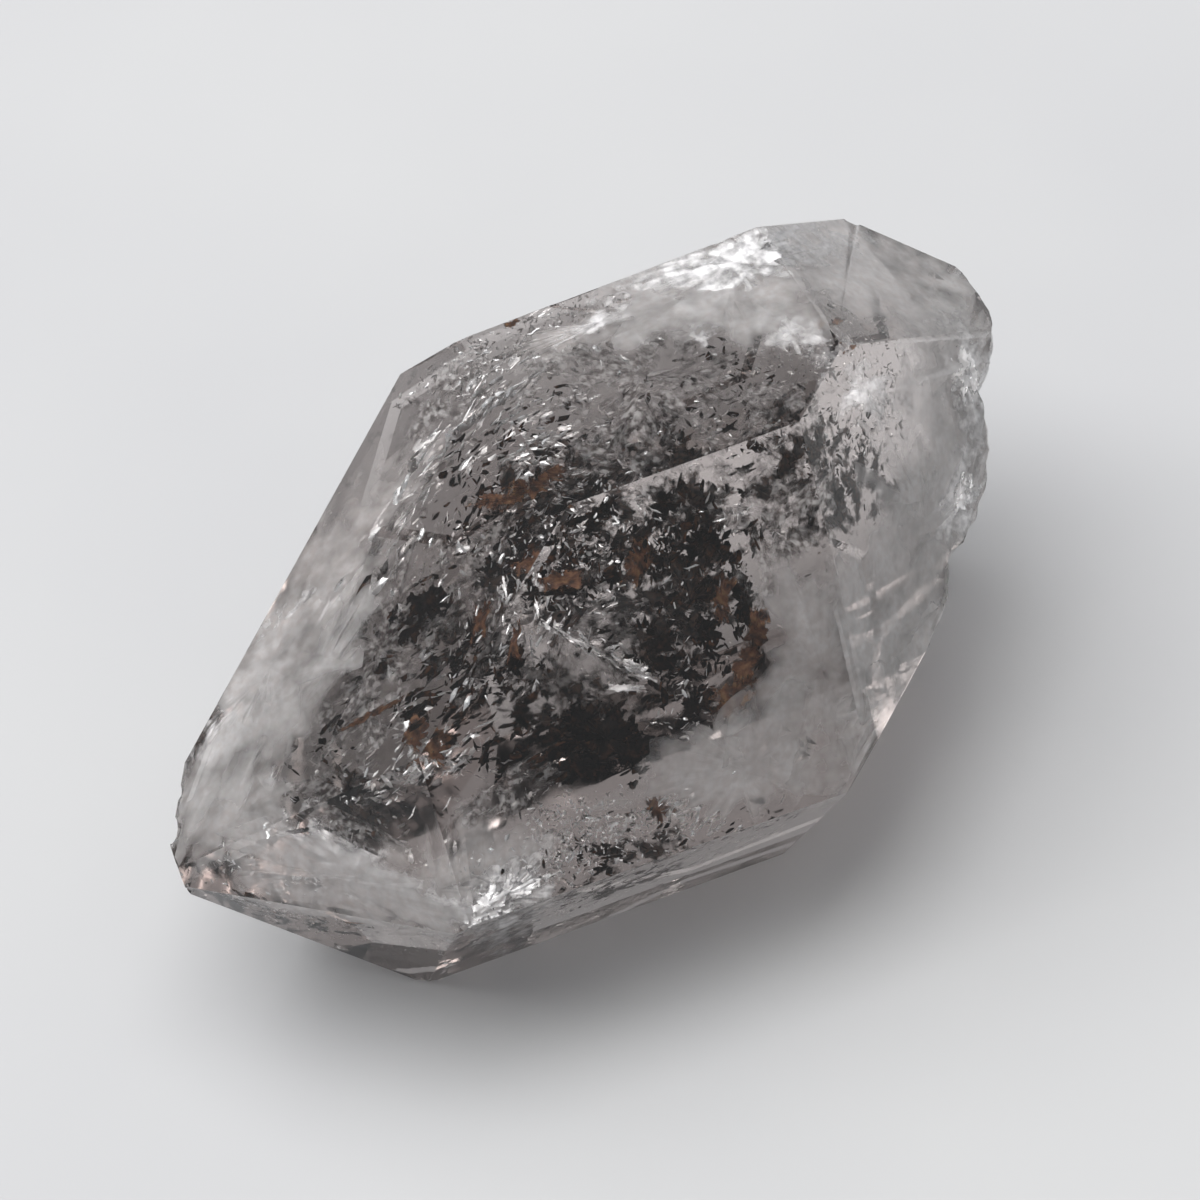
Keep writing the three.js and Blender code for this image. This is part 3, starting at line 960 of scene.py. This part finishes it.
def add_needle_cavities(inside, rng):
    bits = Bits()
    for streak in STREAKS:
        add_streak(bits, inside, rng, *streak)
    for swarm in SILVER_SWARMS:
        add_swarm(bits, inside, rng, swarm, SLIVER_SHARE)
    material, _, _ = flake_material("needle_cavity", NEEDLE_COLOURS, roughness=0.32, metallic=0.9)
    bits.to_object("needle_cavities", material)


def add_pale_specks(inside, rng):
    bits = Bits()
    for swarm in PALE_SWARMS:
        add_swarm(bits, inside, rng, swarm)
    material, _, _ = flake_material("pale_speck", SPECK_COLOURS, roughness=0.35, metallic=0.8)
    bits.to_object("pale_specks", material)


def add_cracks(inside, rng):
    bits = Bits()
    for plate in BRIGHT_PLATES:
        add_bright_plate(bits, inside, rng, *plate)
    material, tree, shader = flake_material("crack", SPECK_COLOURS, roughness=0.35, metallic=0.8)
    add_cover(tree, shader, grain=2.5, detail=4.0, bare=0.30, full=0.42, most=1.0)
    bits.to_object("cracks", material)


def add_healed_veils(inside, rng):
    bits = Bits()
    for veil in VEILS:
        add_veil(bits, inside, rng, *veil, wave=HAZE_WAVE)
    for veil in EDGE_VEILS:
        add_veil(bits, inside, rng, *veil, wave=HAZE_WAVE, one_face=False)
    material, tree, shader = veil_material("healed_veil", HAZE_COLOURS, roughness=0.5)
    add_cover(tree, shader, grain=0.5, detail=3.0, bare=0.12, full=0.70, most=1.0)
    bits.to_object("healed_veils", material)


def add_glinting_veils(inside, rng):
    bits = Bits()
    for veil in GLINT_VEILS:
        add_glint_veil(bits, inside, rng, *veil)
    material, tree, shader = veil_material("glinting_veil", GLINT_COLOURS, 0.5, metallic=0.9)
    add_cover(tree, shader, grain=1.6, detail=5.0, bare=0.24, full=0.60, most=1.0)
    bits.to_object("glinting_veils", material)


def add_mottled_veils(inside, rng):
    bits = Bits()
    for veil in MOTTLED_VEILS:
        add_veil(bits, inside, rng, *veil)
    material, tree, shader = veil_material("mottled_veil", MOTTLE_COLOURS, roughness=0.6)
    add_cover(tree, shader, grain=1.0, detail=3.0, bare=0.34, full=0.62, most=0.75)
    bits.to_object("mottled_veils", material)


def add_inclusions(surface):
    inside = Inside(surface)
    rng = random.Random(SEED)
    add_anthraxolite_plates(inside, rng)
    add_anthraxolite_flakes(inside, rng)
    add_dark_veils(inside, rng)
    add_iron_stained_plates(inside, rng)
    add_needle_cavities(inside, rng)
    add_pale_specks(inside, rng)
    add_cracks(inside, rng)
    add_healed_veils(inside, rng)
    add_glinting_veils(inside, rng)
    add_mottled_veils(inside, rng)


# Surroundings

def add_floor():
    mesh = bmesh.new()
    bmesh.ops.create_grid(mesh, x_segments=FLOOR_SQUARES, y_segments=FLOOR_SQUARES, size=FLOOR_SIZE / 2)
    bmesh.ops.translate(mesh, verts=mesh.verts, vec=(0, 0, -FLOOR_GAP))
    data = bpy.data.meshes.new("floor")
    mesh.to_mesh(data)
    mesh.free()
    data.materials.append(floor_material())
    add_object("floor", data)


def add_softboxes():
    """Soft lights. Quartz bends all their light, so nothing inside it is lit straight from them."""
    reached = bpy.data.collections.new("reached_by_straight_light")
    for name in ("floor", "quartz_crystal"):
        reached.objects.link(bpy.data.objects[name])
    for name, direction, distance, width, height, watts in SOFTBOXES:
        data = bpy.data.lights.new(name, "AREA")
        data.shape = "RECTANGLE"
        data.size = width
        data.size_y = height
        data.energy = watts
        light = add_object(name, data)
        toward = direction.normalized()
        light.location = CAMERA_TARGET + toward * distance
        light.rotation_euler = toward.to_track_quat("Z", "Y").to_euler()
        light.light_linking.receiver_collection = reached


def set_world():
    scene = bpy.context.scene
    scene.world = bpy.data.worlds.new("studio")
    scene.world.use_nodes = True
    background = scene.world.node_tree.nodes["Background"]
    background.inputs["Color"].default_value = WORLD_COLOUR
    background.inputs["Strength"].default_value = WORLD_STRENGTH
    scene.view_settings.view_transform = "Standard"
    scene.world.cycles.sampling_method = "NONE"
    scene.cycles.use_light_tree = False
    scene.cycles.max_bounces = 10
    scene.cycles.diffuse_bounces = 1
    scene.cycles.transmission_bounces = 10
    scene.cycles.glossy_bounces = 3
    scene.cycles.transparent_max_bounces = 40


add_camera()
set_world()
add_floor()
add_inclusions(add_crystal())
add_softboxes()
